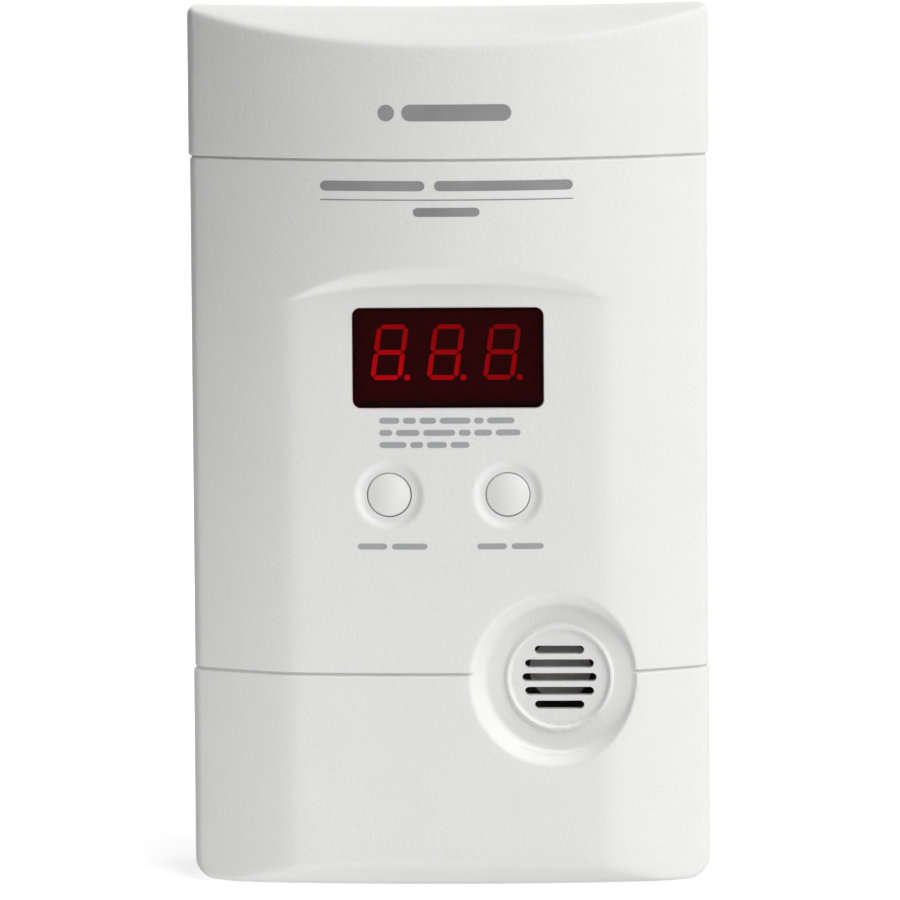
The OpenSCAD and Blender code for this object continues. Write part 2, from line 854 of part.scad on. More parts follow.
// Two flat blades with a retaining hole near each tip
module plug_blades() {
  nose = 1.6;
  hole_out = 11.7;
  y = [at(body_d - blade_root), at(body_d + blade_out)];
  z = [plug_z - blade_h / 2, plug_z + blade_h / 2];
  color([0.82, 0.75, 0.5]) for (x = [-blade_pitch / 2, blade_pitch / 2]) difference() {
    translate([x - blade_t / 2, 0, 0]) rotate([90, 0, 90]) linear_extrude(height = blade_t)
      polygon([[y[0], z[0]], [y[1] - nose, z[0]], [y[1], z[0] + nose],
               [y[1], z[1] - nose], [y[1] - nose, z[1]], [y[0], z[1]]]);
    translate([x - blade_t, at(body_d + hole_out), plug_z]) rotate([0, 90, 0])
      cylinder(r = 1.6, h = 2 * blade_t);
  }
}

// A laminated core with two windows
module transformer_core() {
  color([0.35, 0.33, 0.32]) difference() {
    block([-17, 17], core_ds, [core_z - 14, core_z + 14]);
    for (x = [-8.5, 8.5])
      block([x - 3, x + 3], [core_ds[0] - 1, core_ds[1] + 1.5], [core_z - 8.5, core_z + 8.5]);
  }
}

// The winding round the core's middle limb
module transformer_coil() {
  color([0.75, 0.45, 0.15]) difference() {
    block([-11.2, 11.2], coil_ds, [core_z - coil_h / 2, core_z + coil_h / 2]);
    block([-5.6, 5.6], [core_ds[0] - fit, core_ds[1] + fit], [core_z - 9, core_z + 9]);
  }
}

module adapter_pins() {
  color("gold") for (s = [-1, 1])
    rod(s * adapter_pin[0], adapter_pin[1], [board_back_d + 0.6, dock_d + 4.5], adapter_pin_r);
}

// Tails from the coil back to the blades, and leads from the coil down to the pins
module adapter_leads() {
  lead_d = dock_d + 3.1;
  coil_base = core_z - coil_h / 2;
  pin_top = adapter_pin[1] + adapter_pin_r - eps;
  color(BLACK) for (s = [-1, 1]) {
    rod(s * blade_pitch / 2, plug_z, [coil_ds[1], body_d - blade_root], 0.6);
    translate([s * adapter_pin[0], at(lead_d), pin_top])
      cylinder(r = 0.45, h = coil_base - pin_top);
  }
}

// ---------- assembly ----------

front_cover();
rear_cover();
housing_screws();
display_window();
test_button();
peak_button();
test_switch();
peak_switch();
test_plunger();
peak_plunger();
main_board();
board_screws();
display_module();
display_segments();
display_pins();
controller_chip();
capacitors();
small_components();
co_sensor_can();
co_sensor_cap();
co_sensor_pins();
horn_housing();
horn_disc();
horn_ceramic();
horn_leads();
battery_case();
battery_terminals();
battery_contacts();
battery_door();
power_socket();
adapter_shell();
adapter_plate();
plug_blades();
transformer_core();
transformer_coil();
adapter_pins();
adapter_leads();
rating_label();
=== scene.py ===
import json
import math

import bmesh
import bpy
import numpy as np
from mathutils import Matrix, Vector


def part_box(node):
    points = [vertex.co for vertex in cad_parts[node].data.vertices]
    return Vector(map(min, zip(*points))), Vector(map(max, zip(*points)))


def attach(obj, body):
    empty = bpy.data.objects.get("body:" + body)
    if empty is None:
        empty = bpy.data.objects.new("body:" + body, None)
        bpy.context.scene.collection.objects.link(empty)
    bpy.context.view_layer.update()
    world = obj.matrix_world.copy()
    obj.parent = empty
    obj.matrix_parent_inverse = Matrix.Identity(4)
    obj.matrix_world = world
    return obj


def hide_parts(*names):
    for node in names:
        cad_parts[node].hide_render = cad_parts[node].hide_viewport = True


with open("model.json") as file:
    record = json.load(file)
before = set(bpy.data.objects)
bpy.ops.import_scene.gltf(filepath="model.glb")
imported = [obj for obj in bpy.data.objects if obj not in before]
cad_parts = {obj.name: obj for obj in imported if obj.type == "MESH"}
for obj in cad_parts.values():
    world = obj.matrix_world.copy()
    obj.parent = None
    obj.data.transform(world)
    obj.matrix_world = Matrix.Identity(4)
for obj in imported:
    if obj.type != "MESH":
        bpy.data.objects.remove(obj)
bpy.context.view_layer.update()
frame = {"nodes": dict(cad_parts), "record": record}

MM = 0.001
NODES = frame["nodes"]


# ---------- sizes worked out from the frame, in millimetres ----------

def box_mm(node):
    """Lowest and highest corner of a CAD node, in millimetres."""
    low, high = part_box(node)
    return np.array(low) / MM, np.array(high) / MM


COVER_LOW, COVER_HIGH = box_mm("front_cover")
FRONT_Y = COVER_LOW[1]
HALF_W = COVER_HIGH[0]
TOP_Z = COVER_HIGH[2]
SEAM_DEPTH = COVER_HIGH[1] - FRONT_Y

WINDOW_LOW, WINDOW_HIGH = box_mm("display_window")
TEST_LOW, TEST_HIGH = box_mm("test_button")
PEAK_LOW, PEAK_HIGH = box_mm("peak_button")
HORN_LOW, HORN_HIGH = box_mm("horn_housing")

BUTTON_X = (PEAK_LOW[0] + PEAK_HIGH[0]) / 2
BUTTON_Z = (PEAK_LOW[2] + PEAK_HIGH[2]) / 2
SOUNDER_X = (HORN_LOW[0] + HORN_HIGH[0]) / 2
SOUNDER_Z = (HORN_LOW[2] + HORN_HIGH[2]) / 2
WINDOW_Z = (WINDOW_LOW[2] + WINDOW_HIGH[2]) / 2

# The front's form
CREST_R = 81.0
PANEL_DEPTH = 3.0
PANEL_R = 240.0
BROW_OUT_Z = 106.9
BROW_IN_Z = 103.0
UPPER_GROOVE_Z = 124.3
LOWER_GROOVE_Z = 37.0
GROOVE_HALF = 0.42
GROOVE_DEPTH = 0.75
WAIST_IN = 0.25
TOP_BEVEL_Z = 143.7
TOP_BEVEL_SLOPE = 0.44
TOP_DIP = 0.62
BASE_BEVEL_DEPTH = 9.0
BASE_BEVEL_SLOPE = 0.8
BASE_RISE = 0.67
TOP_CORNER_R = 1.8
BASE_CORNER_R = 3.6
EDGE_R = 1.3

# Steps of the front's grid
FINE_STEP = 0.3
GROOVE_STEP = 0.12
GROOVE_ROWS = 0.6

# The front's draft, wall and blends
DRAFT_SIDE = math.tan(math.radians(3))
DRAFT_TOP = math.tan(math.radians(5.2))
DRAFT_START = 14.0
WALL = 2.2

# The made front lies this far behind the CAD one
SKIN = 0.03

# How broadly two surfaces of the front run into each other
BEVEL_BLEND = 1.1
PANEL_BLEND = 0.35
FLOOR_BLEND = 0.45
RECESS_BLEND = 0.3

# How the brow's outer and inner line bend down from the middle, with x squared and x to the fourth
BROW_OUT_BEND = (0.0045, 6.2e-6)
BROW_IN_BEND = (0.003, 1.0e-6)

# The dishes, the recess and the cuts through the front
DISH_R = 6.0
DISH_FLOOR_R = 4.5
DISH_DEPTH = 0.65
BUTTON_HOLE_R = 3.8
RECESS_R = 12.7
RECESS_WALL = 2.3
RECESS_DEPTH = 7.0
RIM_R = 8.75
RIM_HALF = 0.5
RIM_HEIGHT = 0.6
SLOT_W = 1.45
SLOT_PITCH = 2.35
GRILLE_R = 6.3
WINDOW_W = 32.2
WINDOW_H = 17.0
WINDOW_CORNER = 1.4
WINDOW_CHAMFER = 0.35

# Posts behind the front: bore, outer radius and the depth of the rear end
LIP_DEPTH = 2.5
SCREW_R = 1.52
SCREW_HEAD_R = 2.6
BOSS_R = 3.3
BOARD_SCREW_R = 1.02
BOARD_SCREW_HEAD_R = 1.9
BOARD_POST_R = 3.0
GUIDE_R = 5.6
GUIDE_END = 9.2
COLLAR_BORE = 12.7
COLLAR_R = 13.8
COLLAR_END = 18.5


# ---------- small helpers ----------

def to_y(depth):
    """Y in millimetres of a point at this depth behind the front's crest."""
    return FRONT_Y + depth


def smoothstep(t):
    t = np.clip(t, 0, 1)
    return t * t * (3 - 2 * t)


def soft_positive(v, k):
    """v where v is above 0 and 0 below it, rounded over about k."""
    return 0.5 * (v + np.sqrt(v * v + k * k))


def soft_max(a, b, k):
    return b + soft_positive(a - b, k)


def new_object(name, verts_mm, faces, smooth=True):
    mesh = bpy.data.meshes.new(name)
    mesh.from_pydata([tuple(c * MM for c in v) for v in verts_mm], [], faces)
    mesh.update()
    if smooth:
        mesh.shade_smooth()
    obj = bpy.data.objects.new(name, mesh)
    bpy.context.scene.collection.objects.link(obj)
    return obj


def apply_modifiers(obj):
    """Turns an object's modifiers into plain mesh."""
    graph = bpy.context.evaluated_depsgraph_get()
    made = bpy.data.meshes.new_from_object(obj.evaluated_get(graph))
    old = obj.data
    obj.modifiers.clear()
    obj.data = made
    bpy.data.meshes.remove(old)


def face_outwards(obj):
    """Turns every face of a closed piece outwards."""
    bm = bmesh.new()
    bm.from_mesh(obj.data)
    bmesh.ops.recalc_face_normals(bm, faces=bm.faces)
    bm.to_mesh(obj.data)
    bm.free()


def loft(name, loops):
    """A closed piece through loops of (x, depth, z) points, from front to back."""
    n = len(loops[0])
    verts = [(x, to_y(d), z) for loop in loops for x, d, z in loop]
    faces = [(k * n + i, k * n + (i + 1) % n, (k + 1) * n + (i + 1) % n, (k + 1) * n + i)
             for k in range(len(loops) - 1) for i in range(n)]
    back = (len(loops) - 1) * n
    obj = new_object(name, verts, faces + [tuple(range(n)), tuple(range(back, back + n))], False)
    face_outwards(obj)
    return obj


def prism(name, outline, depths):
    """A closed prism over an outline in x and z, between two depths."""
    return loft(name, [[(x, d, z) for x, z in outline] for d in depths])


def round_rectangle(cx, cz, w, h, r, steps=10):
    """Outline of a rectangle with rounded corners."""
    points = []
    for quarter, (sx, sz) in enumerate(((1, 1), (-1, 1), (-1, -1), (1, -1))):
        for i in range(steps + 1):
            a = math.radians(90 * (quarter + i / steps))
            points.append((cx + sx * (w / 2 - r) + r * math.cos(a),
                           cz + sz * (h / 2 - r) + r * math.sin(a)))
    return points


def circle(cx, cz, r, steps=96):
    return [(cx + r * math.cos(math.tau * i / steps), cz + r * math.sin(math.tau * i / steps))
            for i in range(steps)]


def cut(target, cutters):
    """Cuts closed pieces out of the target."""
    for cutter in cutters:
        mod = target.modifiers.new("cut", "BOOLEAN")
        mod.operation = "DIFFERENCE"
        mod.solver = "EXACT"
        mod.object = cutter
    apply_modifiers(target)
    for cutter in cutters:
        mesh = cutter.data
        bpy.data.objects.remove(cutter)
        bpy.data.meshes.remove(mesh)


def join(name, objects):
    """Joins objects into one, by copying their meshes into it."""
    bm = bmesh.new()
    for obj in objects:
        bm.from_mesh(obj.data)
    bmesh.ops.recalc_face_normals(bm, faces=bm.faces)
    mesh = bpy.data.meshes.new(name)
    bm.to_mesh(mesh)
    bm.free()
    for obj in objects:
        old = obj.data
        bpy.data.objects.remove(obj)
        bpy.data.meshes.remove(old)
    joined = bpy.data.objects.new(name, mesh)
    bpy.context.scene.collection.objects.link(joined)
    return joined


# ---------- materials ----------

class Shader:
    """A Principled material whose colour, roughness and bump come from nodes."""

    def __init__(self, name, roughness, metallic=0.0):
        self.mat = bpy.data.materials.new(name)
        self.mat.use_nodes = True
        self.nodes = self.mat.node_tree.nodes
        self.links = self.mat.node_tree.links
        self.bsdf = self.nodes["Principled BSDF"]
        self.bsdf.inputs["Roughness"].default_value = roughness
        self.bsdf.inputs["Metallic"].default_value = metallic
        self.place = self.nodes.new("ShaderNodeTexCoord").outputs["Object"]
        self.height = None

    def stretched(self, scale):
        """Object coordinates in millimetres, scaled along each axis."""
        node = self.nodes.new("ShaderNodeVectorMath")
        node.operation = "MULTIPLY"
        self.links.new(self.place, node.inputs[0])
        node.inputs[1].default_value = [c / MM for c in scale]
        return node.outputs[0]

    def share(self, axis, low, high):
        """How far a point lies along an axis between two corners, from 0 to 1."""
        split = self.nodes.new("ShaderNodeSeparateXYZ")
        self.links.new(self.stretched((1, 1, 1)), split.inputs[0])
        node = self.nodes.new("ShaderNodeMapRange")
        node.inputs["From Min"].default_value = low[axis]
        node.inputs["From Max"].default_value = high[axis]
        self.links.new(split.outputs[axis], node.inputs[0])
        return node.outputs[0]

    def noise(self, per_mm, detail=3.0, stretch=(1, 1, 1)):
        node = self.nodes.new("ShaderNodeTexNoise")
        self.links.new(self.stretched(stretch), node.inputs["Vector"])
        node.inputs["Scale"].default_value = per_mm
        node.inputs["Detail"].default_value = detail
        return node.outputs[0]

    def cells(self, per_mm):
        node = self.nodes.new("ShaderNodeTexVoronoi")
        node.feature = "SMOOTH_F1"
        self.links.new(self.stretched((1, 1, 1)), node.inputs["Vector"])
        node.inputs["Scale"].default_value = per_mm
        return node.outputs["Distance"]

    def bands(self, per_mm, direction):
        node = self.nodes.new("ShaderNodeTexWave")
        node.bands_direction = direction
        self.links.new(self.stretched((1, 1, 1)), node.inputs["Vector"])
        node.inputs["Scale"].default_value = per_mm
        node.inputs["Distortion"].default_value = 0.0
        return node.outputs[1]

    def ramp(self, value, stops):
        node = self.nodes.new("ShaderNodeValToRGB")
        self.links.new(value, node.inputs[0])
        elements = node.color_ramp.elements
        while len(elements) < len(stops):
            elements.new(0.5)
        for element, (position, colour) in zip(elements, stops):
            element.position = position
            element.color = (*colour, 1)
        return node.outputs[0]

    def colour(self, output):
        self.links.new(output, self.bsdf.inputs["Base Color"])

    def rough(self, value, low, high):
        node = self.nodes.new("ShaderNodeMapRange")
        self.links.new(value, node.inputs[0])
        node.inputs["To Min"].default_value = low
        node.inputs["To Max"].default_value = high
        self.links.new(node.outputs[0], self.bsdf.inputs["Roughness"])

    def bump(self, value, height_mm, strength=1.0):
        """Adds relief of this height on top of any bump the material already has."""
        node = self.nodes.new("ShaderNodeBump")
        node.inputs["Distance"].default_value = height_mm * MM
        node.inputs["Strength"].default_value = strength
        self.links.new(value, node.inputs["Height"])
        if self.height is not None:
            self.links.new(self.height, node.inputs["Normal"])
        self.height = node.outputs[0]
        self.links.new(self.height, self.bsdf.inputs["Normal"])


def shade(colour, factor):
    return tuple(min(1.0, c * factor) for c in colour)


def plastic(name, colour, roughness, grain_mm=0.5, relief_mm=0.03, spread=0.05):
    """Moulded plastic: a pebbled grain, faint clouding, and roughness that follows the clouding."""
    m = Shader(name, roughness)
    clouds = m.noise(0.09, 4)
    m.colour(m.ramp(clouds, [(0.3, shade(colour, 1 - spread)), (0.7, colour)]))
    m.rough(clouds, roughness - 0.05, roughness + 0.06)
    m.bump(m.cells(1 / grain_mm), relief_mm, 0.6)
    m.bump(m.noise(3.0 / grain_mm, 2), relief_mm * 0.5, 0.4)
    return m.mat


def metal(name, colour, roughness, stretch=(1, 1, 12), relief_mm=0.006):
    """Metal with fine drawn lines and uneven brightness."""
    m = Shader(name, roughness, 1.0)
    lines = m.noise(1.6, 4, stretch)
    m.colour(m.ramp(lines, [(0.25, shade(colour, 0.82)), (0.75, colour)]))
    m.rough(lines, roughness - 0.07, roughness + 0.12)
    m.bump(lines, relief_mm, 0.5)
    return m.mat


def banded(name, dark, light, per_mm, direction, roughness, metallic, relief_mm):
    """Stacked sheets or wound wire: regular bands across one axis."""
    m = Shader(name, roughness, metallic)
    lines = m.bands(per_mm, direction)
    m.colour(m.ramp(lines, [(0.1, dark), (0.8, light)]))
    m.rough(m.noise(0.8, 3), roughness - 0.08, roughness + 0.1)
    m.bump(lines, relief_mm, 0.8)
    return m.mat


def circuit_board(name):
    """Green solder mask over square-cornered copper tracks, with a fine weave below."""
    m = Shader(name, 0.35)
    tracks = m.nodes.new("ShaderNodeTexBrick")
    turned = m.nodes.new("ShaderNodeCombineXYZ")
    split = m.nodes.new("ShaderNodeSeparateXYZ")
    m.links.new(m.stretched((1, 1, 1)), split.inputs[0])
    m.links.new(split.outputs[0], turned.inputs[0])
    m.links.new(split.outputs[2], turned.inputs[1])
    m.links.new(turned.outputs[0], tracks.inputs["Vector"])
    tracks.inputs["Scale"].default_value = 0.16
    tracks.inputs["Mortar Size"].default_value = 0.035
    tracks.inputs["Color1"].default_value = (0.012, 0.11, 0.045, 1)
    tracks.inputs["Color2"].default_value = (0.014, 0.125, 0.05, 1)
    tracks.inputs["Mortar"].default_value = (0.03, 0.22, 0.09, 1)
    m.colour(tracks.outputs[0])
    m.rough(m.noise(0.5, 3), 0.28, 0.42)
    m.bump(tracks.outputs[1], 0.04, 0.4)
    m.bump(m.noise(4, 2), 0.01, 0.3)
    return m.mat


def battery_jacket(name):
    """A two-tone printed sleeve: dark below, metallic above, with a soft step between."""
    m = Shader(name, 0.3, 0.55)
    share = m.share(2, *box_mm("battery_case"))
    m.colour(m.ramp(share, [(0.68, (0.02, 0.02, 0.025)), (0.70, (0.5, 0.32, 0.14))]))
    m.rough(m.noise(0.7, 3), 0.24, 0.38)
    m.bump(m.noise(1.5, 3), 0.02, 0.3)
    return m.mat


def red_window(name):
    """Clear acrylic, deeply tinted red, with faint flow marks."""
    m = Shader(name, 0.06)
    m.colour(m.ramp(m.noise(0.05, 2), [(0.3, (0.50, 0.004, 0.026)), (0.7, (0.54, 0.006, 0.03))]))
    m.bsdf.inputs["Transmission Weight"].default_value = 1.0
    m.bsdf.inputs["IOR"].default_value = 1.25
    m.rough(m.noise(0.3, 2), 0.02, 0.05)
    m.bump(m.noise(0.06, 2), 0.02, 0.15)
    return m.mat


def lit_segments(name):
    """Glowing diffuser plastic: brightest low on the first digit, fainter higher and further on."""
    m = Shader(name, 0.4)
    low, high = box_mm("display_segments")
    across = m.ramp(m.share(0, low, high), [(0.30, (1.0, 0.02, 0.12)), (0.42, (0.72, 0.015, 0.085)),
                                            (0.62, (0.72, 0.015, 0.085)), (0.74, (0.4, 0.008, 0.05))])
    up = m.ramp(m.share(2, low, high), [(0.3, (1, 1, 1)), (0.7, (0.51, 0.51, 0.51))])
    glow = m.nodes.new("ShaderNodeVectorMath")
    glow.operation = "MULTIPLY"
    m.links.new(across, glow.inputs[0])
    m.links.new(up, glow.inputs[1])
    m.links.new(glow.outputs[0], m.bsdf.inputs["Emission Color"])
    m.colour(m.ramp(m.noise(1.2, 2), [(0.3, (0.55, 0.02, 0.03)), (0.7, (0.7, 0.03, 0.04))]))
    m.bsdf.inputs["Emission Strength"].default_value = 0.54
    m.bump(m.noise(6, 2), 0.01, 0.3)
    return m.mat


def make_materials():
    """Every material by its name."""
    off_white = (0.80, 0.80, 0.795)
    black = (0.018, 0.018, 0.018)
    made = {}

    def add(maker, name, *look):
        made[name] = maker(name, *look)

    add(plastic, "front_plastic", off_white, 0.52, 0.7, 0.08, 0.015)
    add(plastic, "rear_plastic", shade(off_white, 0.96), 0.5, 0.4, 0.03, 0.03)
    add(plastic, "adapter_plastic", shade(off_white, 0.98), 0.48, 0.4, 0.03, 0.03)
    add(plastic, "button_plastic", (0.82, 0.82, 0.815), 0.34, 0.3, 0.004, 0.01)
    add(metal, "screw_steel", (0.62, 0.62, 0.64), 0.32)
    add(red_window, "red_window")
    add(lit_segments, "lit_segment")
    add(plastic, "black_plastic", black, 0.5, 0.3, 0.02, 0.2)
    add(plastic, "switch_plastic", (0.03, 0.03, 0.033), 0.4, 0.3, 0.015, 0.2)
    add(circuit_board, "board")
    add(metal, "tin", (0.72, 0.72, 0.71), 0.3, (1, 6, 1))
    add(plastic, "capacitor_sleeve", (0.02, 0.03, 0.11), 0.28, 0.5, 0.006, 0.15)
    add(metal, "contact_metal", (0.83, 0.66, 0.32), 0.26)
    add(metal, "blade_brass", (0.78, 0.70, 0.50), 0.24, (1, 1, 5), 0.002)
    add(metal, "disc_metal", (0.92, 0.89, 0.84), 0.6, (6, 1, 6))
    add(plastic, "ceramic", (0.75, 0.72, 0.62), 0.3, 0.25, 0.01, 0.08)
    add(plastic, "red_wire", (0.45, 0.02, 0.02), 0.35, 0.3, 0.006, 0.1)
    add(plastic, "black_wire", (0.02, 0.02, 0.02), 0.35, 0.3, 0.006, 0.1)
    add(battery_jacket, "battery_jacket")
    add(plastic, "socket_plastic", (0.78, 0.74, 0.62), 0.42, 0.3, 0.01, 0.05)
    add(banded, "core_steel", (0.05, 0.05, 0.05), (0.24, 0.23, 0.22), 0.55, "Y", 0.45, 0.8, 0.12)
    add(banded, "copper", (0.20, 0.07, 0.02), (0.72, 0.34, 0.12), 0.8, "Z", 0.3, 0.9, 0.16)
    add(plastic, "label", (0.62, 0.63, 0.64), 0.3, 0.6, 0.003, 0.03)
    add(plastic, "ink", (0.40, 0.40, 0.41), 0.55, 0.5, 0.02, 0.1)
    add(plastic, "dark_ink", (0.32, 0.32, 0.325), 0.55, 0.5, 0.02, 0.25)
    return made


MATERIALS = make_materials()


def finish_piece(obj, slot, body="root", material=None):
    """Gives a new piece its material, the one named by its slot unless another is named, and the body that
    it rides on.
    """
    obj.data.materials.clear()
    obj.data.materials.append(MATERIALS[material or slot])
    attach(obj, body)


def dress_cad_nodes():
    """Every CAD node gets its slot's material, and a small bevel on its moulded edges."""
    bevels = {"rear_cover": 0.35, "adapter_shell": 0.4, "adapter_plate": 0.3, "battery_door": 0.2,
              "display_window": 0.15, "horn_housing": 0.25,
              "display_module": 0.12, "battery_case": 0.9, "co_sensor_can": 0.4,
              "co_sensor_cap": 0.2, "transformer_coil": 0.5, "transformer_core": 0.15,
              "capacitors": 0.4, "power_socket": 0.2, "controller_chip": 0.12,
              "test_switch": 0.15, "peak_switch": 0.15, "main_board": 0.1}
    for part in frame["record"]["subparts"]:
        obj = NODES[part["node"]]
        obj.data.materials.clear()
        obj.data.materials.append(MATERIALS[part["material_slot"]])
        if part["node"] not in bevels:
            continue
        weld = obj.modifiers.new("weld", "WELD")
        weld.merge_threshold = 0.001 * MM
        bevel = obj.modifiers.new("bevel", "BEVEL")
        bevel.width = bevels[part["node"]] * MM
        bevel.segments = 2
        bevel.limit_method = "ANGLE"
        bevel.angle_limit = math.radians(50)


# ---------- the front cover ----------

def half_width(z):
    """Half width of the front at height z: caps, a narrower middle, grooves and corners."""
    w = np.full_like(z, HALF_W)
    middle = smoothstep((z - LOWER_GROOVE_Z) / 0.5 + 0.5) * smoothstep((UPPER_GROOVE_Z - z) / 0.5 + 0.5)
    w = w - WAIST_IN * middle
    for groove_z in (UPPER_GROOVE_Z, LOWER_GROOVE_Z):
        w = w - 0.5 * GROOVE_DEPTH * smoothstep(1 - np.abs(z - groove_z) / GROOVE_HALF)
    low = np.clip(BASE_CORNER_R - z, 0, BASE_CORNER_R)
    high = np.clip(TOP_CORNER_R - (TOP_Z - z), 0, TOP_CORNER_R)
    w = w - (BASE_CORNER_R - np.sqrt(BASE_CORNER_R ** 2 - low ** 2))
    return w - (TOP_CORNER_R - np.sqrt(TOP_CORNER_R ** 2 - high ** 2))


def crest_depth(x):
    return CREST_R - np.sqrt(CREST_R ** 2 - x ** 2)


def panel_extra(x):
    """How far the flat panel lies behind the bowed crest."""
    panel = PANEL_DEPTH + PANEL_R - np.sqrt(PANEL_R ** 2 - x ** 2)
    return soft_positive(panel - crest_depth(x), PANEL_BLEND)


def front_depth(x, z):
    """Depth of the front's surface at x and z, in millimetres behind the crest."""
    z_out = BROW_OUT_Z - BROW_OUT_BEND[0] * x ** 2 - BROW_OUT_BEND[1] * x ** 4
    z_in = BROW_IN_Z - BROW_IN_BEND[0] * x ** 2 - BROW_IN_BEND[1] * x ** 4
    rise = smoothstep((z - z_in) / np.maximum(z_out - z_in, 0.8))
    depth = SKIN + crest_depth(x) + panel_extra(x) * (1 - rise)
    depth = soft_max(depth, (z - TOP_BEVEL_Z) / TOP_BEVEL_SLOPE, BEVEL_BLEND)
    depth = soft_max(depth, BASE_BEVEL_DEPTH - z / BASE_BEVEL_SLOPE, BEVEL_BLEND)
    for groove_z in (UPPER_GROOVE_Z, LOWER_GROOVE_Z):
        depth = depth + GROOVE_DEPTH * smoothstep(1.25 * (1 - np.abs(z - groove_z) / GROOVE_HALF))
    for side in (-1, 1):
        r = np.hypot(x - side * BUTTON_X, z - BUTTON_Z)
        depth = depth + DISH_DEPTH * smoothstep((DISH_R - r) / (DISH_R - DISH_FLOOR_R))
    far = np.hypot(x - SOUNDER_X, z - SOUNDER_Z)
    widening = RECESS_WALL / (RECESS_DEPTH - PANEL_DEPTH)
    wall = RECESS_DEPTH - (far - RECESS_R) / widening
    recess = RECESS_DEPTH - soft_positive(RECESS_DEPTH - wall, FLOOR_BLEND)
    depth = soft_max(depth, recess, RECESS_BLEND)
    ridge = RIM_HEIGHT * smoothstep(1.6 * (1 - np.abs(far - RIM_R) / RIM_HALF))
    return depth - ridge


def graded(stops):
    """Positions along an axis: each stop is a start, an end and a step between them."""
    rows = []
    for start, end, step in stops:
        count = max(1, round((end - start) / step))
        rows.extend(start + (end - start) * i / count for i in range(count))
    rows.append(stops[-1][1])
    return np.array(rows)


def edge_steps(length, steps=8):
    """Steps in from a rounded edge, close together where it curves most."""
    return np.array([length * (1 - math.cos(math.pi / 2 * i / steps)) for i in range(steps)])


def front_rows():
    """Heights of the grid's rows, close together where the front bends."""
    base_top, top_foot = 5.5, 141
    recess_low, recess_high = 20, 52.2
    button_low, button_high = 60.6, 73.6
    brow_low, brow_high = 99.6, 107.4
    lower_low, lower_high = LOWER_GROOVE_Z - GROOVE_ROWS, LOWER_GROOVE_Z + GROOVE_ROWS
    upper_low, upper_high = UPPER_GROOVE_Z - GROOVE_ROWS, UPPER_GROOVE_Z + GROOVE_ROWS
    rows = graded([(EDGE_R, base_top, 0.45), (base_top, recess_low, 1.4),
                   (recess_low, lower_low, FINE_STEP), (lower_low, lower_high, GROOVE_STEP),
                   (lower_high, recess_high, FINE_STEP), (recess_high, button_low, 1.0),
                   (button_low, button_high, FINE_STEP), (button_high, brow_low, 1.0),
                   (brow_low, brow_high, 0.35), (brow_high, upper_low, 1.2),
                   (upper_low, upper_high, GROOVE_STEP), (upper_high, top_foot, 1.2),
                   (top_foot, TOP_Z - EDGE_R, 0.4)])
    return np.concatenate([edge_steps(EDGE_R), rows, (TOP_Z - edge_steps(EDGE_R))[::-1]])


def front_columns():
    """Places of the grid's columns as shares of the half width, close together over the panel."""
    left, panel_left, panel_right = -30, -16.6, 34
    inner = graded([(-HALF_W + EDGE_R, left, 1.0), (left, panel_left, 0.6),
                    (panel_left, panel_right, FINE_STEP), (panel_right, HALF_W - EDGE_R, 0.9)])
    edge = edge_steps(EDGE_R)
    return np.concatenate([-HALF_W + edge, inner, (HALF_W - edge)[::-1]]) / HALF_W


def rounded_edge(inset):
    """Extra depth where the front turns over into the side, at this distance from the outline."""
    t = np.clip(1 - inset / EDGE_R, 0, 1)
    return EDGE_R * (1 - np.sqrt(1 - t * t))


def sheet(columns, rows, margin):
    """The front's surface as a grid, moved in from the outside by margin."""
    u, v = np.meshgrid(columns, rows)
    width = half_width(v)
    lean = TOP_DIP * smoothstep((v - TOP_BEVEL_Z) / (TOP_Z - TOP_BEVEL_Z))
    x = u * (width - margin)
    dip = lean * (1 - (x / HALF_W) ** 2)
    rise = BASE_RISE * (1 - smoothstep(v / BASE_BEVEL_DEPTH)) * (x / HALF_W) ** 2
    z = margin + (v - dip + rise) * (TOP_Z - 2 * margin) / TOP_Z
    inset = np.minimum.reduce([(width - np.abs(u * width)), v, TOP_Z - v])
    depth = front_depth(x, v) + margin
    if margin == 0:
        depth = depth + rounded_edge(inset)
    return np.stack([x, to_y(depth), z], -1)


def outline_indices(rows, columns):
    """The grid's edge, once round, starting at its lower left corner."""
    grid = np.arange(rows * columns).reshape(rows, columns)
    return np.concatenate([grid[0, :-1], grid[:-1, -1], grid[-1, :0:-1], grid[:0:-1, 0]])


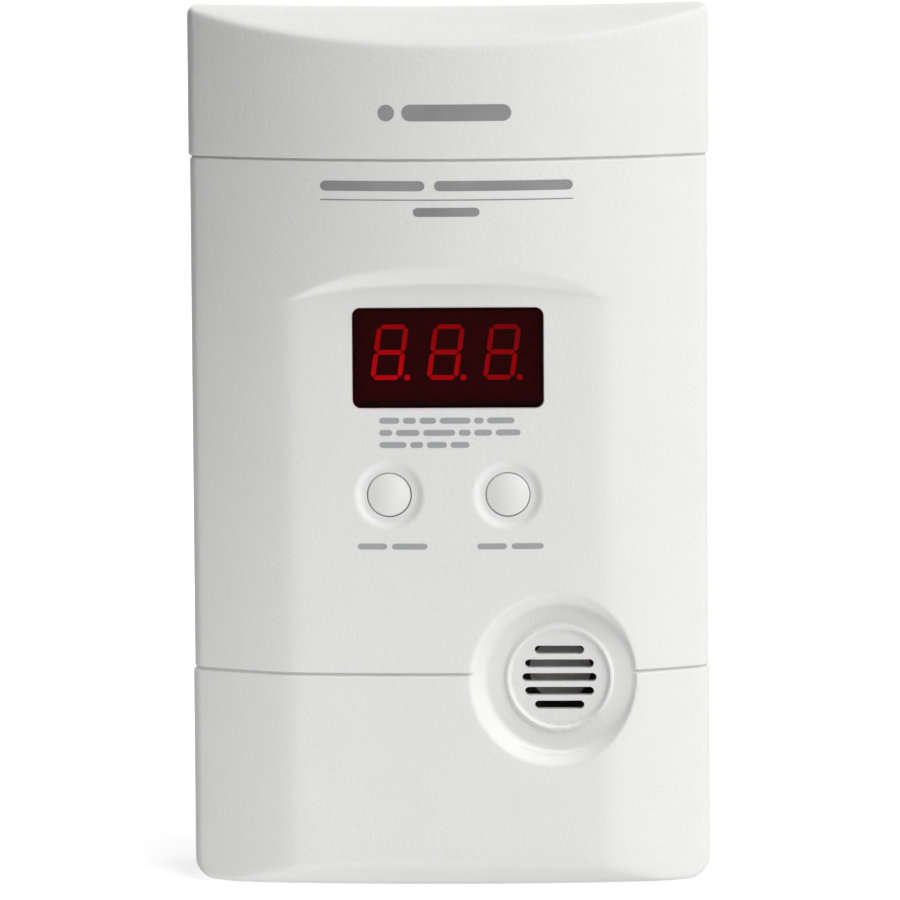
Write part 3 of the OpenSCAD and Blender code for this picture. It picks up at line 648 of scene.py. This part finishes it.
def front_shell():
    """A closed shell: front surface, side walls, rear rim and inner surface."""
    columns, rows = front_columns(), front_rows()
    n, m = len(rows), len(columns)
    outer = sheet(columns, rows, 0).reshape(-1, 3)
    inner = sheet(columns, rows, WALL).reshape(-1, 3)
    quads = [(i * m + j, i * m + j + 1, (i + 1) * m + j + 1, (i + 1) * m + j)
             for i in range(n - 1) for j in range(m - 1)]
    verts = [outer, inner]
    faces = quads + [tuple(k + n * m for k in reversed(q)) for q in quads]
    edge = outline_indices(n, m)
    start = 2 * n * m
    rim_levels = [0.25, 0.5, 0.75, 1.0]

    def ring(base, share, margin):
        """The outline moved back towards the seam, drawing in with the draft."""
        points = base[edge].copy()
        back = to_y(SEAM_DEPTH)
        y = points[:, 1] + (back - points[:, 1]) * share
        run = np.maximum(y - to_y(DRAFT_START), 0)
        side = np.clip(np.abs(points[:, 0]) / HALF_W, 0, 1) ** 8
        high = np.clip(points[:, 2] / TOP_Z, 0, 1) ** 40
        if margin == 0:
            points[:, 0] -= np.sign(points[:, 0]) * side * run * DRAFT_SIDE
            points[:, 2] -= high * run * DRAFT_TOP
        points[:, 1] = y
        return points

    count = len(edge)

    def band(a, b):
        return [(a[i], b[i], b[(i + 1) % count], a[(i + 1) % count]) for i in range(count)]

    last = list(edge)
    for share in rim_levels:
        verts.append(ring(outer, share, 0))
        new = list(range(start, start + count))
        faces += band(last, new)
        last, start = new, start + count
    verts.append(ring(inner, 1.0, WALL))
    new = list(range(start, start + count))
    faces += band(last, new)
    faces += band(new, [k + n * m for k in edge])
    return np.concatenate(verts), faces


def window_cutter(deep):
    """The opening for the window, with a small chamfer where it meets the front."""
    loops = []
    for above, grow in ((2.0, WINDOW_CHAMFER), (0.6, WINDOW_CHAMFER), (-WINDOW_CHAMFER, 0.0), (None, 0.0)):
        outline = round_rectangle(0, WINDOW_Z, WINDOW_W + 2 * grow, WINDOW_H + 2 * grow,
                                  WINDOW_CORNER + grow)
        x, z = np.array(outline).T
        depth = np.full_like(x, deep) if above is None else front_depth(x, z) - above
        loops.append(list(zip(x, depth, z)))
    return loft("cut_window", loops)


def make_front_cover():
    verts, faces = front_shell()
    cover = new_object("front_cover_shell", verts, [tuple(int(k) for k in f) for f in faces])
    face_outwards(cover)
    deep = SEAM_DEPTH - 6
    cutters = [window_cutter(deep)]
    for side in (-1, 1):
        cutters.append(prism("cut_button", circle(side * BUTTON_X, BUTTON_Z, BUTTON_HOLE_R), (-2, deep)))
    for i in range(-2, 3):
        half = math.sqrt(GRILLE_R ** 2 - (i * SLOT_PITCH) ** 2)
        cutters.append(prism("cut_slot", round_rectangle(SOUNDER_X, SOUNDER_Z + i * SLOT_PITCH,
                                                         2 * half, SLOT_W, SLOT_W / 2 - 0.001), (-2, deep)))
    cut(cover, cutters)
    cover.data.set_sharp_from_angle(angle=math.radians(38))
    finish_piece(cover, "front_plastic")
    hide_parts("front_cover")


# ---------- turned pieces: posts behind the front, and the buttons ----------

def lathe(name, profile, x, z, steps=96):
    """A piece turned about an axis along Y: the profile is (radius, depth) from front to back."""
    verts, faces, rings = [], [], []
    for r, d in profile:
        if r == 0:
            rings.append([len(verts)])
            verts.append((x, to_y(d), z))
            continue
        rings.append(list(range(len(verts), len(verts) + steps)))
        verts += [(x + r * math.cos(math.tau * i / steps), to_y(d), z + r * math.sin(math.tau * i / steps))
                  for i in range(steps)]
    for a, b in zip(rings, rings[1:]):
        for i in range(steps):
            j = (i + 1) % steps
            if len(a) == 1:
                faces.append((a[0], b[j], b[i]))
            elif len(b) == 1:
                faces.append((a[i], a[j], b[0]))
            else:
                faces.append((a[i], a[j], b[j], b[i]))
    obj = new_object(name, verts, faces)
    face_outwards(obj)
    obj.data.set_sharp_from_angle(angle=math.radians(40))
    return obj


def tube(x, z, bore, r, end):
    """A hollow post whose start follows the front, deep inside its wall."""
    rim = 0.25
    post = lathe("post", [(bore, 0), (r, 0), (r, end - rim), (r - rim, end), (bore + rim, end),
                          (bore, end - rim), (bore, 0)], x, z, 48)
    for vert in post.data.vertices:
        vx, vy, vz = (c / MM for c in vert.co)
        at_start = abs(vy - to_y(0)) < 1e-3
        if at_start:
            depth = front_depth(np.array([vx]), np.array([vz]))[0] + 0.7 * WALL
            vert.co.y = to_y(float(depth)) * MM
    return post


def corners(node, head_r):
    """Where a node's four screws stand in x and z."""
    low, high = box_mm(node)
    return [(x, z) for x in (low[0] + head_r, high[0] - head_r)
            for z in (low[2] + head_r, high[2] - head_r)]


def make_front_posts():
    """Screw bosses, board posts, button guides and the sounder's collar."""
    board_front = box_mm("main_board")[0][1] - FRONT_Y
    posts = [tube(x, z, SCREW_R, BOSS_R, SEAM_DEPTH - LIP_DEPTH - 0.1)
             for x, z in corners("housing_screws", SCREW_HEAD_R)]
    posts += [tube(x, z, BOARD_SCREW_R, BOARD_POST_R, board_front - 0.05)
              for x, z in corners("board_screws", BOARD_SCREW_HEAD_R)]
    posts += [tube(side * BUTTON_X, BUTTON_Z, BUTTON_HOLE_R, GUIDE_R, GUIDE_END) for side in (-1, 1)]
    posts.append(tube(SOUNDER_X, SOUNDER_Z, COLLAR_BORE, COLLAR_R, COLLAR_END))
    finish_piece(join("front_cover_posts", posts), "front_plastic")


def make_button(node, body, low, high):
    """A domed cap with a rolled rim, on a flange and a stem."""
    x, z = (low[0] + high[0]) / 2, (low[2] + high[2]) / 2
    top, back = low[1] - FRONT_Y, high[1] - FRONT_Y
    cap_r = BUTTON_HOLE_R - 0.1
    dome_r = 9.5
    rim_r = 0.55
    flange_r = 4.9
    flange_front = back - 1.1
    flange_back = flange_front + 0.7
    stem_r = 2.4
    profile = []
    for i in range(13):
        r = (cap_r - rim_r) * i / 12
        profile.append((r, top + dome_r - math.sqrt(dome_r ** 2 - r ** 2)))
    rim_depth = profile[-1][1]
    for i in range(1, 7):
        a = math.pi / 2 * i / 6
        profile.append((cap_r - rim_r + rim_r * math.sin(a), rim_depth + rim_r * (1 - math.cos(a))))
    profile += [(cap_r, flange_front), (flange_r - 0.2, flange_front), (flange_r, flange_front + 0.15),
                (flange_r, flange_back - 0.1), (flange_r - 0.15, flange_back), (stem_r, flange_back),
                (stem_r, back), (0, back)]
    cap = lathe(node + "_cap", profile, x, z)
    finish_piece(cap, "button_plastic", body)
    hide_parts(node)


# ---------- printed marks: plain bars in place of lettering ----------

def printed_bar(name, x0, x1, z0, z1, thickness=0.05):
    """A thin film of ink with round ends that follows the front."""
    r = (z1 - z0) / 2
    count = max(12, int((x1 - x0) / 0.6))
    verts, faces = [], []
    for i in range(count + 1):
        x = x0 + (x1 - x0) * (0.5 - 0.5 * math.cos(math.pi * i / count))
        reach = min(x - x0, x1 - x, r)
        half = max(0.02, math.sqrt(max(0, r * r - (r - reach) ** 2)))
        mid = (z0 + z1) / 2
        for z in (mid - half, mid + half):
            surface = float(front_depth(np.array([x]), np.array([z]))[0])
            verts.append((x, to_y(surface - thickness / 2), z))
            verts.append((x, to_y(surface + thickness), z))
    for i in range(count):
        a, b = 4 * i, 4 * (i + 1)
        faces += [(a, b, b + 2, a + 2), (a + 1, a + 3, b + 3, b + 1),
                  (a, a + 1, b + 1, b), (a + 2, b + 2, b + 3, a + 3)]
    end = 4 * count
    faces += [(0, 2, 3, 1), (end, end + 1, end + 3, end + 2)]
    return new_object(name, verts, faces, False)


def words(z0, z1, start, lengths, gap):
    """A row of bars, as long as words, from start to the right."""
    bars, x = [], start
    for length in lengths:
        bars.append(printed_bar("bar", x, x + length, z0, z1))
        x += length + gap
    return bars


def make_marks():
    """Blocks of plain bars where such a detector has its printing."""
    rows = {
        "printed_heading": words(119.2, 120.9, -21.2, (17.6, 23.2), 1.6)
                           + [printed_bar("bar", -21.2, 21.2, 117.6, 117.8)]
                           + words(114.9, 116.4, -5.6, (11.2,), 1),
        "printed_notes": words(79.75, 80.75, -11.6, (3.4, 2.2, 2.8, 5.2, 1.6, 4.6), 0.6)
                         + words(77.7, 78.7, -11.6, (2.2, 4.0, 5.4, 2.0, 3.0, 4.2), 0.6)
                         + words(75.65, 76.65, -11.6, (4.6, 2.2, 3.4, 3.2), 0.6),
        "printed_labels": words(58.4, 59.4, -15.4, (5.0, 6.0), 0.8)
                          + words(58.4, 59.4, 4.8, (5.0, 5.4), 0.8),
        "printed_emblem": words(130.9, 133.7, -11.4, (2.8, 18.4), 1.2),
    }
    for name, bars in rows.items():
        ink = "dark_ink" if name in ("printed_heading", "printed_emblem") else "ink"
        finish_piece(join(name, bars), "front_plastic", "root", ink)


# ---------- camera and light ----------

def make_camera():
    """A long lens, a little above the front and to its right."""
    azimuth = math.radians(1.59)
    elevation = math.radians(6.4)
    roll = math.radians(-0.385)
    distance = 1.2
    back = Vector((math.sin(azimuth) * math.cos(elevation), -math.cos(azimuth) * math.cos(elevation),
                   math.sin(elevation)))
    data = bpy.data.cameras.new("camera")
    data.sensor_width = 36
    data.lens = 281.2
    data.clip_end = 10
    cam = bpy.data.objects.new("camera", data)
    bpy.context.scene.collection.objects.link(cam)
    aim = Vector((-0.14 * MM, (FRONT_Y + 19.0) * MM, 73.5 * MM))
    cam.location = aim + back * distance
    turn = (-back).to_track_quat("-Z", "Y").to_matrix().to_4x4()
    cam.rotation_mode = "QUATERNION"
    cam.rotation_quaternion = (turn @ Matrix.Rotation(roll, 4, "Z")).to_quaternion()
    bpy.context.scene.camera = cam


def sun(name, direction, strength, angle):
    """A broad sun that shines from this direction."""
    data = bpy.data.lights.new(name, "SUN")
    data.energy = strength
    data.angle = math.radians(angle)
    light = bpy.data.objects.new(name, data)
    light.rotation_mode = "QUATERNION"
    light.rotation_quaternion = Vector(direction).to_track_quat("Z", "Y")
    bpy.context.scene.collection.objects.link(light)


def table_glow():
    """The light that a bright table throws up at the front."""
    data = bpy.data.lights.new("table_glow", "AREA")
    data.energy = 0.071
    data.size = 0.15
    light = bpy.data.objects.new("table_glow", data)
    place = Vector((-0.12, -0.10, 0.005))
    aim = Vector((0, 0, 0.05))
    light.location = place
    light.rotation_mode = "QUATERNION"
    light.rotation_quaternion = (place - aim).to_track_quat("Z", "Y")
    light.visible_camera = False
    light.visible_glossy = False
    bpy.context.scene.collection.objects.link(light)


def make_floor():
    """A white table that throws no light of its own on the piece."""
    reach = 3000
    floor = new_object("floor", [(-reach, -reach, 0), (reach, -reach, 0), (reach, reach, 0),
                                 (-reach, reach, 0)], [(0, 1, 2, 3)], False)
    mat = bpy.data.materials.new("studio_floor")
    mat.use_nodes = True
    shader = mat.node_tree.nodes["Principled BSDF"]
    shader.inputs["Base Color"].default_value = (0.85, 0.85, 0.85, 1)
    shader.inputs["Roughness"].default_value = 0.9
    shader.inputs["Specular IOR Level"].default_value = 0.1
    shader.inputs["Emission Color"].default_value = (1, 1, 1, 1)
    shader.inputs["Emission Strength"].default_value = 0.48
    floor.data.materials.append(mat)
    floor.visible_diffuse = False
    floor.visible_glossy = False
    floor.visible_shadow = False


def make_world():
    """Light that grows from left to right, in front of a white background."""
    world = bpy.data.worlds.new("studio")
    bpy.context.scene.world = world
    world.use_nodes = True
    nodes, links = world.node_tree.nodes, world.node_tree.links
    background = nodes["Background"]
    place = nodes.new("ShaderNodeTexCoord")
    split = nodes.new("ShaderNodeSeparateXYZ")
    glow = nodes.new("ShaderNodeMapRange")
    glow.inputs["From Min"].default_value = -1.0
    glow.inputs["From Max"].default_value = 1.0
    glow.inputs["To Min"].default_value = 0.0
    glow.inputs["To Max"].default_value = 0.4
    links.new(place.outputs["Generated"], split.inputs[0])
    links.new(split.outputs[0], glow.inputs[0])
    path = nodes.new("ShaderNodeLightPath")
    level = nodes.new("ShaderNodeMapRange")
    level.inputs["To Max"].default_value = 1.0
    links.new(path.outputs["Is Camera Ray"], level.inputs[0])
    links.new(glow.outputs[0], level.inputs["To Min"])
    links.new(level.outputs[0], background.inputs["Strength"])
    background.inputs["Color"].default_value = (1, 1, 1, 1)


def make_lights():
    sun("key", (1.0, -1.0, 1.0), 1.92, 60)
    sun("overhead", (0.4, -0.15, 1.0), 1.17, 60)
    sun("underlight", (0.25, -0.3, -1.0), 1.85, 60)
    sun("back_fill", (-0.5, 1.0, 0.35), 1.2, 60)
    table_glow()


dress_cad_nodes()
make_front_cover()
make_front_posts()
make_button("test_button", "test_button_body", TEST_LOW, TEST_HIGH)
make_button("peak_button", "peak_button_body", PEAK_LOW, PEAK_HIGH)
make_marks()
make_camera()
make_floor()
make_world()
make_lights()
bpy.context.scene.view_settings.view_transform = "Standard"
